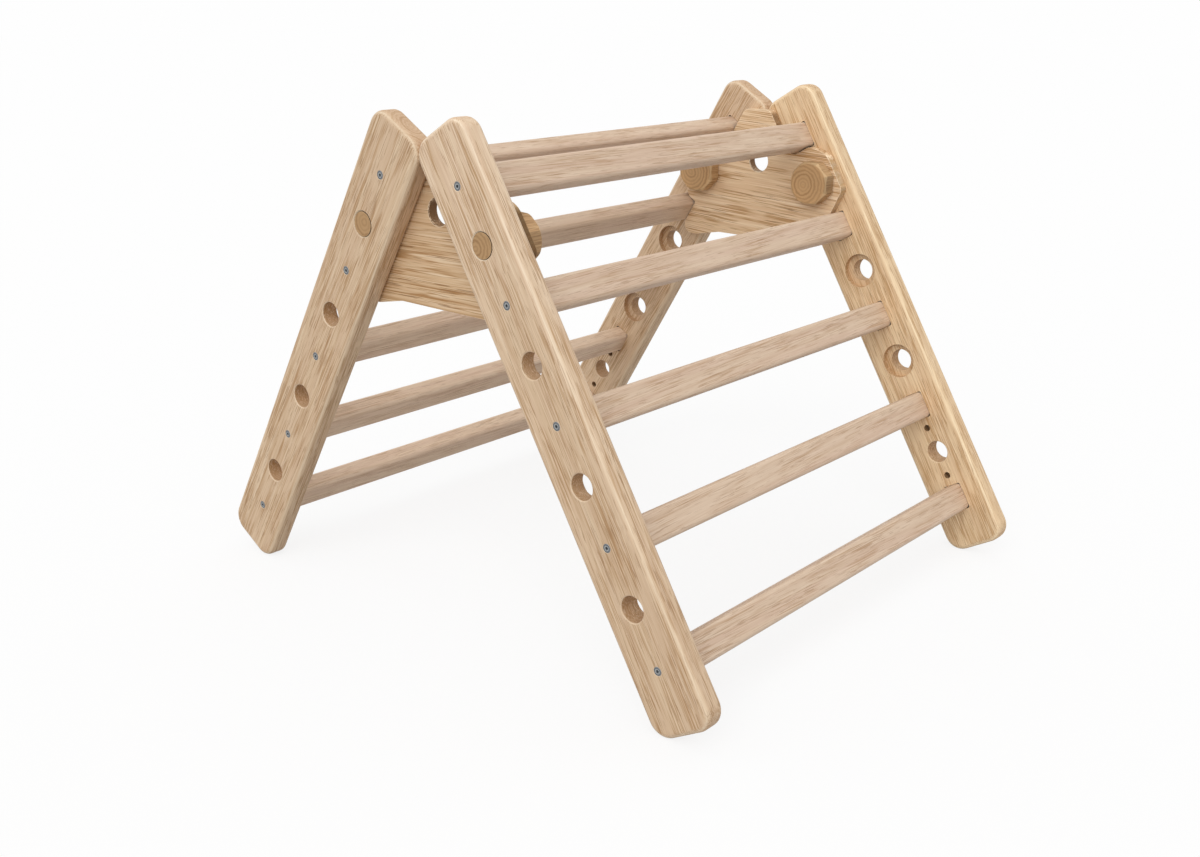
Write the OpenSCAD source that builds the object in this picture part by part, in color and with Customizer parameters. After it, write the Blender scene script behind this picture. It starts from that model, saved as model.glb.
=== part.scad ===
// Folding climbing triangle: two five-rung ladders joined by a pair of hinge plates and four wooden pegs.
// X runs from the back ladder to the front one, Y along the rungs and Z up; the feet stand on Z = 0.

/* [Frame] */
// Width over the outer faces of the side rails
frame_w = 600; // [480:10:800]
// Angle of each ladder from upright when the frame stands open
lean = 30.97; // [27:0.01:35]
// Space between the tips of the front and back rails, which stop the frame from opening further
tip_gap = 0.3; // [0.2:0.1:2]

/* [Side rails] */
// Length of a side rail along its own axis
rail_len = 601.5; // [580:0.5:680]
// Width of a side rail
rail_w = 76; // [70:1:90]
// Thickness of a side rail
rail_t = 24; // [22:1:30]
// Radius of the four rounded corners of a rail
end_r = 20; // [10:1:28]
// Radius of the softened edge all round a rail
rail_edge = 6; // [2:0.5:8]

/* [Rungs] */
// Distance from the top end of the rail to the centre of the first rung
first_rung = 58; // [50:1:64]
// Distance from the centre of the fifth rung to the bottom end of the rail
last_rung = 63.5; // [56:0.5:80]
// Size of a rung along the rail
rung_w = 32; // [28:1:36]
// Size of a rung square to the ladder
rung_d = 22; // [18:1:26]
// Radius of the long edges of a rung
rung_r = 5; // [2:0.5:7]
// Depth of the mortise that holds the end of a rung
mortise = 8; // [5:0.5:12]
// Gap round a rung in its mortise
rung_fit = 0.3; // [0.1:0.1:0.6]
// Radius of the corners of a mortise, tighter than those of the rung
mortise_r = 2.5; // [1:0.5:4]

/* [Peg holes] */
// Diameter of the peg shanks
peg_d = 26; // [22:1:30]
// Gap between a peg and its hole, on the radius
peg_fit = 0.1; // [0.05:0.01:0.1]
// Bevel at the mouth of each hole
rim = 1; // [0.5:0.1:2]
// Diameter of the recess on the inner side of the second and third holes
socket_d = 41; // [38:1:46]
// Depth of that recess
socket_depth = 7.5; // [4:0.5:10]
// Diameter of the two blind pin holes beside the lowest hole
pin_d = 8; // [5:0.5:10]
// Depth of the pin holes
pin_depth = 10; // [6:0.5:14]
// Wood left between each pin hole and the rung beside it
pin_wall = 9; // [5:0.5:12]

/* [Hinge plates] */
// Thickness of a hinge plate
plate_t = 12; // [9:1:18]
// Running gap between a plate and the rails beside it
plate_gap = 0.3; // [0.2:0.1:0.6]
// Gap between a plate and the back rungs that lock it
key_gap = 0.5; // [0.3:0.1:1]
// Space between a plate and the inner side of the top front rung
front_gap = 9; // [5:0.5:14]
// Space below a top rung where the plate turns out to its lobe
brow_gap = 1.3; // [1:0.1:4]
// Width of a lobe from the ladder's centre line to its outer side
lobe_w = 28.5; // [26:0.5:32]
// Distance from the centre line at which the brow of a lobe starts to slope
brow_w = 10; // [8:0.5:11]
// Length of the sloping brow along the ladder
brow_len = 18.7; // [16:0.1:24]
// Distance below the peg at which the outer side of a lobe turns in to its chin
chin_drop = 24; // [18:0.5:30]
// Height of the plate's top edge above the top rungs
top_rise = 30; // [20:1:34]
// Depth of the plate's bottom edge below the second rungs
bottom_drop = 27; // [20:1:30]
// Depth of the heel below the second back rung
heel_drop = 34; // [31:1:40]
// Width of the level part of the heel
heel_w = 29; // [22:1:34]
// Length of the slope from the heel up to the bottom edge
heel_ramp = 36; // [24:1:44]
// Gap that the second front rung keeps from the plate as it swings
swing_gap = 1; // [0.5:0.1:1.5]
// Angle through which the front ladder folds before its rung meets the plate
fold = 25; // [16:1:32]
// Diameter of the open hole in the middle of a plate
eye_d = 27; // [22:1:30]
// Depth of that hole's centre below the top rungs
eye_drop = 33; // [28:1:38]

/* [Pegs] */
// Size of the eight-sided head of a peg across its flats
head_w = 51; // [46:0.5:53]
// Diameter to which the corners of a head are turned
head_d = 54; // [52:0.2:56]
// Thickness of the head of a peg
head_t = 18; // [14:0.5:24]
// Bevel round the faces of a head
head_bevel = 3; // [1:0.5:4]
// Gap under the head of a peg
head_gap = 0.3; // [0.2:0.1:0.6]

/* [Screws] */
// Diameter of a screw's shank
shank_d = 5; // [4:0.5:6]
// Diameter of a screw's countersunk head
screw_head_d = 9.4; // [8:0.2:11]
// Height of the countersunk head
screw_head_h = 2.6; // [2:0.1:3.2]
// Length of a screw over all
screw_len = 60; // [45:1:80]
// Length of a screw's point
screw_tip = 5; // [3:0.5:7]
// Gap round a screw, on the radius
screw_fit = 0.1; // [0.05:0.01:0.2]
// Size of the drive recess across its corners
drive_d = 3.8; // [2.5:0.1:4.5]
// Depth of the drive recess
drive_depth = 1.6; // [1:0.1:2]

/* [Hidden] */
$fn = 64;

rung_count = 5;
// Turn between neighbouring points of a rounded corner of a plate, in degrees
arc_step = 9;
// Length by which every cut runs past the wood
overrun = 1;
// Corner radii of a plate as shares of the size that each one blends
top_corner_share = 0.4;
brow_in_share = 0.6;
brow_out_share = 0.5;
shoulder_share = 0.85;
chin_share = 0.3;
foot_share = 0.42;
heel_out_share = 0.4;
heel_in_share = 0.6;
rail_wood = [0.80, 0.68, 0.54];
rung_wood = [0.83, 0.73, 0.64];
plate_wood = [0.78, 0.65, 0.47];
peg_wood = [0.69, 0.55, 0.37];
zinc = [0.62, 0.66, 0.70];

// Centre of the top front rung, placed so that the rail tips meet at X = 0 and the feet stand on Z = 0
corner_v = rail_w / 2 - end_r;
top_x = tip_gap / 2 + end_r + (first_rung - end_r) * sin(lean) + corner_v * cos(lean);
top_z = end_r + (rail_len - end_r - first_rung) * cos(lean) + corner_v * sin(lean);

// Faces of the left rail and the left plate along Y
rail_out = -frame_w / 2;
rail_in = rail_out + rail_t;
plate_out = rail_in + plate_gap;
plate_in = plate_out + plate_t;
mortise_floor = rail_in - mortise;

rung_pitch = (rail_len - first_rung - last_rung) / (rung_count - 1);
bore_d = peg_d + 2 * peg_fit;
peg_s = rung_pitch / 2;
pin_reach = peg_s - rung_w / 2 - pin_wall - pin_d / 2;
rung_end = mortise_floor + rung_fit;

// Sides of the plate in ladder coordinates: s down from the top rung, v out from the ladder's centre line
front_v = -rung_d / 2 - front_gap;
key_v = -rung_d / 2 - key_gap;
brow_s = rung_w / 2 + brow_gap;
swing_r = rung_pitch / 2 - rung_w / 2 - swing_gap;
chin_s = peg_s + chin_drop;
jaw_s = peg_s + swing_r;
stop_v = rung_d / 2 + swing_gap;
bottom_z = -rung_pitch * cos(lean) - bottom_drop;
heel_z = -rung_pitch * cos(lean) - heel_drop;

// Point at (s, v) on the front ladder, and its mirror image on the back one, with Z from the top rungs
function front(s, v) = [top_x + s * sin(lean) + v * cos(lean), -s * cos(lean) + v * sin(lean)];
function back(s, v) = let (p = front(s, v)) [-p[0], p[1]];

// Where the line at distance v along a ladder crosses the height z
function front_at(z, v) = front((v * sin(lean) - z) / cos(lean), v);
function back_at(z, v) = let (p = front_at(z, v)) [-p[0], p[1]];

// Point of the folded front ladder, at the distance r below its peg and v out from its centre line
function folded(r, v) = front(
    peg_s + r * cos(fold) + v * sin(fold),
    -r * sin(fold) + v * cos(fold));

// Where the line that stops the second front rung crosses the height z
function stop_at(z) =
    let (a = folded(0, -stop_v), b = folded(swing_r, -stop_v))
    a + (b - a) * (z - a[1]) / (b[1] - a[1]);

// Points of the arc about the front peg that the rung keeps clear of, from the lobe's chin to the folded ladder
swing_steps = ceil(fold / arc_step);
swing_arc = [
    for (k = [0 : swing_steps])
        let (a = fold * k / swing_steps)
        [front(peg_s + swing_r * cos(a), -swing_r * sin(a)), 0]
];

function unit(v) = v / norm(v);

// Points of the corner b between a and c, rounded to the radius r
function corner(a, b, c, r) =
    r == 0 ? [b] :
    let (
        u = unit(a - b),
        w = unit(c - b),
        half = acos(u * w) / 2,
        centre = b + unit(u + w) * r / sin(half),
        start = b + u * r / tan(half) - centre,
        turn = sign(cross(w, u)) * (180 - 2 * half),
        steps = ceil(abs(turn) / arc_step),
        first = atan2(start[1], start[0]))
    [for (k = [0 : steps]) centre + r * [cos(first + turn * k / steps), sin(first + turn * k / steps)]];

function rounded(list) = [
    for (i = [0 : len(list) - 1])
        let (before = list[(i + len(list) - 1) % len(list)][0], after = list[(i + 1) % len(list)][0])
        each corner(before, list[i][0], after, list[i][1])
];

// Outline of a hinge plate, each corner with its radius, from the top front corner down the front side
plate_front = [
    [front_at(top_rise, front_v), top_corner_share * lobe_w],
    [front(brow_s, front_v), brow_in_share * -front_v],
    [front(brow_s, brow_w), brow_out_share * brow_len],
    [front(brow_s + brow_len, lobe_w), shoulder_share * lobe_w],
    [front(chin_s, lobe_w), chin_share * lobe_w]
];
plate_back = [
    [folded(swing_r, -stop_v), rung_r + swing_gap],
    [stop_at(bottom_z), foot_share * bottom_drop],
    [back_at(heel_z, key_v) + [heel_w + heel_ramp, heel_drop - bottom_drop], heel_in_share * heel_ramp],
    [back_at(heel_z, key_v) + [heel_w, 0], heel_in_share * heel_ramp],
    [back_at(heel_z, key_v), heel_out_share * heel_w],
    [back(jaw_s, key_v), rung_r / 2],
    [back(jaw_s, 0), 0],
    [back(chin_s, lobe_w), chin_share * lobe_w],
    [back(brow_s + brow_len, lobe_w), shoulder_share * lobe_w],
    [back(brow_s, brow_w), brow_out_share * brow_len],
    [back(brow_s, key_v), rung_r / 2],
    [back_at(top_rise, key_v), top_corner_share * lobe_w]
];
plate_outline = rounded(concat(plate_front, swing_arc, plate_back));

// Carries a shape from ladder coordinates (X out, Z up the rail, top rung at zero) to the open frame
module on_front() {
    translate([top_x, 0, top_z]) rotate([0, -lean, 0]) children();
}

module on_back() {
    mirror([1, 0, 0]) on_front() children();
}

module to_right() {
    mirror([0, 1, 0]) children();
}

// Round bar along Y from y0 to y1
module rod(d, y0, y1) {
    translate([0, y0, 0]) rotate([-90, 0, 0]) cylinder(h = y1 - y0, d = d);
}

// Cone along Y, from the diameter d0 at y0 to d1 at y1
module taper(d0, d1, y0, y1) {
    translate([0, y0, 0]) rotate([-90, 0, 0]) cylinder(h = y1 - y0, d1 = d0, d2 = d1);
}

// Round hole along Y through the wood from y0 to y1, with a bevelled mouth at each face
module rimmed_hole(d, y0, y1) {
    mouth_d = d + 2 * (rim + overrun);
    rod(d, y0 - overrun, y1 + overrun);
    taper(mouth_d, d, y0 - overrun, y0 + rim);
    taper(d, mouth_d, y1 - rim, y1 + overrun);
}

// Flat shape of a w by d rectangle with its corners rounded to r
module rounded_flat(w, d, r) {
    square([w - 2 * r, d], center = true);
    square([w, d - 2 * r], center = true);
    for (x = [-1, 1], y = [-1, 1])
        translate([x * (w / 2 - r), y * (d / 2 - r)]) circle(r = r);
}

// Half section of a rail's rounded corner, turned about the corner's own axis
module corner_section() {
    translate([0, -rail_t / 2]) square([end_r - rail_edge, rail_t]);
    translate([0, rail_edge - rail_t / 2]) square([end_r, rail_t - 2 * rail_edge]);
    for (y = [-1, 1])
        translate([end_r - rail_edge, y * (rail_t / 2 - rail_edge)]) circle(r = rail_edge);
}

// Left rail without its holes: a long bar, a longer and narrower one, and four turned corners
module rail_blank() {
    translate([0, (rail_out + rail_in) / 2, first_rung - rail_len / 2]) {
        linear_extrude(height = rail_len - 2 * end_r, center = true)
            rounded_flat(rail_w, rail_t, rail_edge);
        rotate([90, 0, 90])
            linear_extrude(height = 2 * corner_v, center = true)
                rotate([0, 0, 90]) rounded_flat(rail_len, rail_t, rail_edge);
        for (x = [-1, 1], z = [-1, 1])
            translate([x * corner_v, 0, z * (rail_len / 2 - end_r)])
                rotate([90, 0, 0]) rotate_extrude() corner_section();
    }
}

// Bar as wide and deep as a rung with the gap round it, with corners of radius r, along Y from y0 to y1
module rung_bar(y0, y1, gap, r) {
    translate([0, y1, 0])
        rotate([90, 0, 0])
            linear_extrude(height = y1 - y0)
                rounded_flat(rung_d + 2 * gap, rung_w + 2 * gap, r);
}

// Countersunk hole for a screw through the floor of a mortise
module screw_hole() {
    rod(shank_d + 2 * screw_fit, rail_out, mortise_floor + overrun);
    taper(screw_head_d + 2 * screw_fit, shank_d + 2 * screw_fit, rail_out, rail_out + screw_head_h);
    rod(screw_head_d + 2 * screw_fit, rail_out - overrun, rail_out);
}

// Left side rail in ladder coordinates
module rail() {
    lowest = rung_count - 1;
    difference() {
        rail_blank();
        for (k = [0 : rung_count - 1])
            translate([0, 0, -k * rung_pitch]) {
                rung_bar(mortise_floor, rail_in + overrun, rung_fit, mortise_r);
                screw_hole();
            }
        for (k = [1 : lowest])
            translate([0, 0, peg_s - k * rung_pitch]) rimmed_hole(bore_d, rail_out, rail_in);
        for (k = [2 : lowest - 1])
            translate([0, 0, peg_s - k * rung_pitch]) rod(socket_d, rail_in - socket_depth, rail_in + overrun);
        for (end = [-1, 1])
            translate([0, 0, peg_s - lowest * rung_pitch + end * pin_reach])
                rod(pin_d, rail_in - pin_depth, rail_in + overrun);
    }
}

// Rung number k of a ladder, with a pilot hole for the screw in each end
module rung(k) {
    translate([0, 0, -(k - 1) * rung_pitch])
        difference() {
            rung_bar(rung_end, -rung_end, 0, rung_r);
            rung_pilot();
            to_right() rung_pilot();
        }
}

// Pilot hole in the left end of a rung, with room past the screw's point
module rung_pilot() {
    rod(shank_d + 2 * screw_fit, rung_end - overrun, rail_out + screw_len + overrun);
}

// One wood screw, head flush with the outer face of the left rail
module screw() {
    difference() {
        union() {
            taper(screw_head_d, shank_d, rail_out, rail_out + screw_head_h);
            rod(shank_d, rail_out + screw_head_h, rail_out + screw_len - screw_tip);
            taper(shank_d, 0, rail_out + screw_len - screw_tip, rail_out + screw_len);
        }
        translate([0, rail_out - overrun, 0])
            rotate([-90, 0, 0]) cylinder(h = drive_depth + overrun, d = drive_d, $fn = 6);
    }
}

module screws() {
    for (k = [0 : rung_count - 1])
        translate([0, 0, -k * rung_pitch]) screw();
}

// Left hinge plate, keyed behind the two top back rungs and open to the swing of the front ones
module plate() {
    difference() {
        translate([0, plate_in, top_z])
            rotate([90, 0, 0]) linear_extrude(height = plate_t) polygon(plate_outline);
        for (p = [front(peg_s, 0), back(peg_s, 0)])
            translate([p[0], 0, top_z + p[1]]) rod(bore_d, plate_out - overrun, plate_in + overrun);
        translate([0, 0, top_z - eye_drop]) rimmed_hole(eye_d, plate_out, plate_in);
    }
}

// Head blank of a peg, turned with a bevel at both faces
module head_blank() {
    rotate([-90, 0, 0])
        rotate_extrude()
            polygon([
                [0, 0],
                [head_d / 2 - head_bevel, 0],
                [head_d / 2, head_bevel],
                [head_d / 2, head_t - head_bevel],
                [head_d / 2 - head_bevel, head_t],
                [0, head_t]
            ]);
}

// Left peg about its own axis: a plain shank with a bevelled end and an eight-sided head
module peg() {
    head_y = plate_in + head_gap;
    taper(peg_d - 2 * rim, peg_d, rail_out, rail_out + rim);
    rod(peg_d, rail_out + rim, head_y);
    translate([0, head_y, 0])
        intersection() {
            head_blank();
            rotate([-90, 0, 0])
                rotate([0, 0, 180 / 8]) cylinder(h = head_t, d = head_w / cos(180 / 8), $fn = 8);
        }
}

module front_peg() {
    p = front(peg_s, 0);
    translate([p[0], 0, top_z + p[1]]) peg();
}

module back_peg() {
    mirror([1, 0, 0]) front_peg();
}

module front_left_rail() {
    color(rail_wood) on_front() rail();
}

module front_right_rail() {
    color(rail_wood) to_right() on_front() rail();
}

module back_left_rail() {
    color(rail_wood) on_back() rail();
}

module back_right_rail() {
    color(rail_wood) to_right() on_back() rail();
}

module front_rung(k) {
    color(rung_wood) on_front() rung(k);
}

module back_rung(k) {
    color(rung_wood) on_back() rung(k);
}

module left_plate() {
    color(plate_wood) plate();
}

module right_plate() {
    color(plate_wood) to_right() plate();
}

module front_left_peg() {
    color(peg_wood) front_peg();
}

module front_right_peg() {
    color(peg_wood) to_right() front_peg();
}

module back_left_peg() {
    color(peg_wood) back_peg();
}

module back_right_peg() {
    color(peg_wood) to_right() back_peg();
}

module front_left_screws() {
    color(zinc) on_front() screws();
}

module front_right_screws() {
    color(zinc) to_right() on_front() screws();
}

module back_left_screws() {
    color(zinc) on_back() screws();
}

module back_right_screws() {
    color(zinc) to_right() on_back() screws();
}

front_left_rail();
front_right_rail();
back_left_rail();
back_right_rail();
front_rung(1);  // front_rung_1
front_rung(2);  // front_rung_2
front_rung(3);  // front_rung_3
front_rung(4);  // front_rung_4
front_rung(5);  // front_rung_5
back_rung(1);  // back_rung_1
back_rung(2);  // back_rung_2
back_rung(3);  // back_rung_3
back_rung(4);  // back_rung_4
back_rung(5);  // back_rung_5
left_plate();
right_plate();
front_left_peg();
front_right_peg();
back_left_peg();
back_right_peg();
front_left_screws();
front_right_screws();
back_left_screws();
back_right_screws();
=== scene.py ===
"""Dresses the folding climbing triangle: timber rails, rungs, plates and pegs, steel screws and the studio.

Lengths are metres in the part's own frame: X from the back ladder to the front one, Y along the rungs, Z up.
A point of a ladder is also given as (v, y, s): v out from its centre line and s down from its top rung.
"""

import logging
import math
from dataclasses import dataclass
from enum import Enum
from itertools import product

import bmesh
import bpy
import numpy as np
from mathutils import Matrix, Vector


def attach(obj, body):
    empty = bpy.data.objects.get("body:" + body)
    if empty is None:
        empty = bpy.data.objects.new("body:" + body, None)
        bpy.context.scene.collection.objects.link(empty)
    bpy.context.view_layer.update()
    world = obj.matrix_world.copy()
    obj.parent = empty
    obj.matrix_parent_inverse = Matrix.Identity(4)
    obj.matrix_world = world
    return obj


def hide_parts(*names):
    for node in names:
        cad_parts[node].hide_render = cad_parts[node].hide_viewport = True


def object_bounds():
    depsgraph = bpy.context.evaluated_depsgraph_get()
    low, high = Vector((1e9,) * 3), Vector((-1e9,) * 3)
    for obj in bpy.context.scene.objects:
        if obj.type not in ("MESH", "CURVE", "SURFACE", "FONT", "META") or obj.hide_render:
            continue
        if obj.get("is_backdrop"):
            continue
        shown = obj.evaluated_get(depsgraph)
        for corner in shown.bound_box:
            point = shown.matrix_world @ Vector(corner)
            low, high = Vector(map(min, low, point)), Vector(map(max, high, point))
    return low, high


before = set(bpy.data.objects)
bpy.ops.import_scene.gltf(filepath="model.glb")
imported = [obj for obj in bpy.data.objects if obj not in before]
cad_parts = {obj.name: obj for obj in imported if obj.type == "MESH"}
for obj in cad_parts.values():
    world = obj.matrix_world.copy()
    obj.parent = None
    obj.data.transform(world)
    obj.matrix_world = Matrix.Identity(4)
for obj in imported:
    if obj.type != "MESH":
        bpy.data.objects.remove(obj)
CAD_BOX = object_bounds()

log = logging.getLogger("climbing_triangle")

Array = np.ndarray
Colour = tuple[float, float, float]
Pair = tuple[float, float]
Number = float | int
Piece = bpy.types.Object
Socket = bpy.types.NodeSocket
Node = bpy.types.Node
Material = bpy.types.Material
Given = dict[str | int, object]

ALONG_X, ALONG_Y, UP = (Vector(row) for row in np.eye(3))
PLAIN = (1.0, 1.0, 1.0)
WHITE = (1.0, 1.0, 1.0, 1.0)
# How much painted shade the faces in recesses, holes and gaps get, from nought to one.
IN_JOINT, BY_RUNG, IN_SHADE, IN_HOLE, ON_LEDGE = 1.0, 0.88, 0.75, 0.5, 0.2


class Ladder(Enum):
    """The two ladders, with the sign of X on the side where each one stands."""

    FRONT = 1
    BACK = -1


class Side(Enum):
    """The two sides of the frame, with the sign of Y."""

    LEFT = -1
    RIGHT = 1


def joined(*parts: Ladder | Side | str | int) -> str:
    """Joins words with underscores, as in the names of the CAD nodes."""
    return "_".join(part.name.lower() if isinstance(part, Enum) else str(part) for part in parts)


def progress(values: Array, low: float, high: float) -> Array:
    """How far values have come on the way from low to high, held between nought and one."""
    return np.clip((values - low) / (high - low), 0, 1)


def direction(turn: float, height: float) -> Vector:
    """Points to a turn from -Y towards +X and a height above the floor, both angles in radians."""
    return Vector((math.sin(turn) * math.cos(height), -math.cos(turn) * math.cos(height), math.sin(height)))


def linear(colour: Colour) -> tuple[float, float, float, float]:
    """Linear red, green, blue and alpha of a colour given as the eye reads it, 0 to 255 a channel."""
    c = np.asarray(colour, float) / 255
    lin = np.where(c <= 0.04045, c / 12.92, ((c + 0.055) / 1.055) ** 2.4)
    return (float(lin[0]), float(lin[1]), float(lin[2]), 1.0)


@dataclass(frozen=True)
class Value:
    """A number that varies over a surface. Sums with it add Math nodes to its tree."""

    tree: "Tree"
    socket: Socket

    def math(self, operation: str, *others: "Value | Number") -> "Value":
        """Applies a Math node to this value and to the second and third numbers that it takes."""
        return self.tree.value("Math", dict(enumerate((self, *others))), operation=operation)

    def __add__(self, other: "Value | Number") -> "Value":
        """Sum of two values."""
        return self.math("ADD", other)

    __radd__ = __add__

    def __sub__(self, other: "Value | Number") -> "Value":
        """Difference of two values."""
        return self.math("SUBTRACT", other)

    def __rsub__(self, other: Number) -> "Value":
        """A number less this value."""
        return self.tree.value("Math", {0: other, 1: self}, operation="SUBTRACT")

    def __mul__(self, other: "Value | Number") -> "Value":
        """Product of two values."""
        return self.math("MULTIPLY", other)

    __rmul__ = __mul__

    def __truediv__(self, other: "Value | Number") -> "Value":
        """Quotient of two values."""
        return self.math("DIVIDE", other)

    def __pow__(self, other: "Value | Number") -> "Value":
        """Power of a value."""
        return self.math("POWER", other)

    def __abs__(self) -> "Value":
        """Size of a value without its sign."""
        return self.math("ABSOLUTE")

    def rise(self, low: Number, high: Number) -> "Value":
        """Smooth step from nought at low to one at high, or down again where low is the larger."""
        given = {"Value": self, "From Min": low, "From Max": high, "To Min": 0.0, "To Max": 1.0}
        return self.tree.value("MapRange", given, interpolation_type="SMOOTHSTEP")

    def peak(self, middle: Number, half_width: Number) -> "Value":
        """Soft hump: one at the middle, nought from half_width away."""
        return abs(self - middle).rise(half_width, 0.0)


class Tree:
    """The node tree of a material or of the world, with one method that adds any node."""

    def __init__(self, node_tree: bpy.types.NodeTree) -> None:
        """Empties a node tree to build in."""
        self.nodes = node_tree.nodes
        self.links = node_tree.links
        self.nodes.clear()

    def node(self, kind: str, sockets: Given | None = None, **settings: str | bool) -> Node:
        """Adds a node.

        Args:
            kind: its type, without ShaderNode.
            sockets: what each of its inputs gets, by name or place.
            settings: its settings, set before its sockets.

        Returns:
            The new node.
        """
        made = self.nodes.new(f"ShaderNode{kind}")
        for name, setting in settings.items():
            setattr(made, name, setting)
        for key, given in (sockets or {}).items():
            if isinstance(given, Value):
                self.links.new(given.socket, made.inputs[key])
            elif isinstance(given, Socket):
                self.links.new(given, made.inputs[key])
            else:
                made.inputs[key].default_value = given
        return made

    def value(self, kind: str, sockets: Given, out: str | int = 0, **settings: str | bool) -> Value:
        """Adds a node and returns one of its numbers."""
        return Value(self, self.node(kind, sockets, **settings).outputs[out])

    def attribute(self, name: str) -> Socket:
        """Vector that a mesh carries under this name."""
        return self.node("Attribute", attribute_name=name).outputs["Vector"]

    def factor(self, name: str) -> Value:
        """Number that a mesh carries under this name."""
        return self.value("Attribute", {}, "Fac", attribute_name=name)

    def vector(self, operation: str, first: object, second: object) -> Socket:
        """Vector Math of two vectors."""
        return self.node("VectorMath", {0: first, 1: second}, operation=operation).outputs[0]

    def noise(self, place: Socket, size: Colour, detail: float, shift: float) -> Value:
        """Soft noise whose lumps have the given size along each axis.

        Args:
            place: the point at which it is read.
            size: length of a lump along each axis, in the units of place.
            detail: octaves of finer lumps.
            shift: moves the pattern, so that two noises differ.

        Returns:
            A value from nought to one, mostly near a half.
        """
        scale = tuple(1 / length for length in size)
        moved = self.vector("ADD", self.vector("MULTIPLY", place, scale), (shift, 1.7 * shift, -shift))
        return self.value("TexNoise", {"Vector": moved, "Scale": 1.0, "Detail": detail, "Roughness": 0.55})

    def blend(self, factor: Value, under: Socket | Colour, over: Socket | Colour) -> Socket:
        """Lays one colour over another by a factor from nought to one."""
        under, over = (linear(colour) if isinstance(colour, tuple) else colour for colour in (under, over))
        return self.node("Mix", {0: factor, 6: under, 7: over}, data_type="RGBA").outputs[2]

    def mixed(self, factor: Value | Number, under: Node, over: Node) -> Node:
        """Mixes two shaders by a factor from nought to one."""
        return self.node("MixShader", {0: factor, 1: under.outputs[0], 2: over.outputs[0]})

    def shown(self) -> Value:
        """One for rays that show the background itself: from the camera, or by way of gloss or glass."""
        path = self.node("LightPath")
        camera, glossy, clear = (
            Value(self, path.outputs[f"Is {ray} Ray"]) for ray in ("Camera", "Glossy", "Transmission")
        )
        return camera.math("MAXIMUM", glossy).math("MAXIMUM", clear)

    def output(self, shader: Node, kind: str = "Material") -> None:
        """Sends a shader to the output of a material or of the world."""
        self.node(f"Output{kind}", {"Surface": shader.outputs[0]})


def new_material(name: str) -> tuple[Material, Tree]:
    """Adds a material and empties its node tree."""
    made = bpy.data.materials.new(name)
    made.use_nodes = True
    return made, Tree(made.node_tree)


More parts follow.
